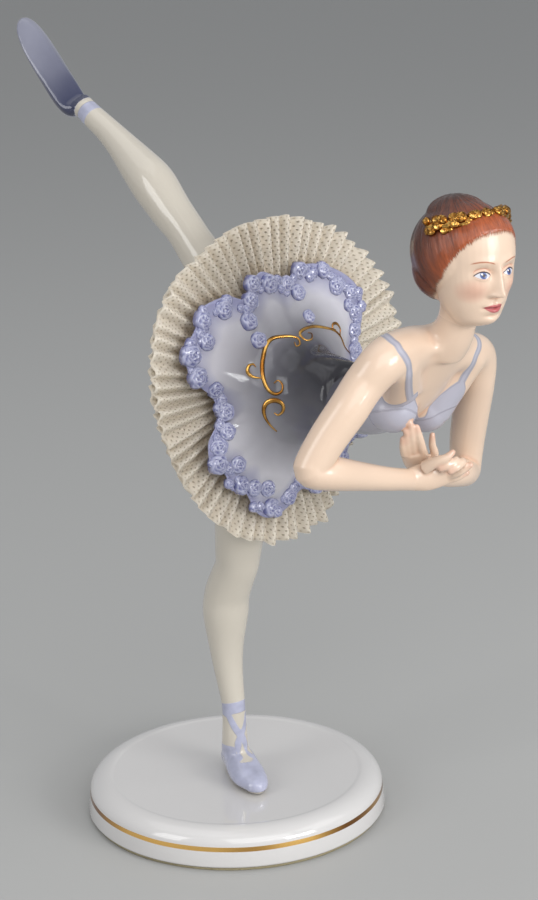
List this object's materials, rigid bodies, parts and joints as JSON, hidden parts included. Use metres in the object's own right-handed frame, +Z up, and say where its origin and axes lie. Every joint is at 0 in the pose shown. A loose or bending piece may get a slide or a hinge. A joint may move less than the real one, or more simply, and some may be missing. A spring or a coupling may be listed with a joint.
{
  "type": "ballerina figurine",
  "caption": "Glazed porcelain ballerina in arabesque with a pleated lace tutu, rose-edged overskirt and gilt wreath, on a round white plinth.",
  "frame": {"origin": "centre of the felt's underside, where the plinth stands", "axes": "+Z up; the dancer faces -Y; +X is her left"},
  "size_m": [0.1055, 0.2292, 0.2608],
  "materials": {
    "felt": "matte",
    "white_glaze": "gloss",
    "painted_porcelain": "satin",
    "porcelain_lace": "matte",
    "lavender_glaze": "gloss",
    "gilt": "polished"
  },
  "bodies": {
    "root": {"base_felt": "felt", "base": "white_glaze", "ballerina": "painted_porcelain", "lace_tutu": "porcelain_lace", "overskirt": "lavender_glaze", "tiara": "gilt"}
  },
  "joints": []
}
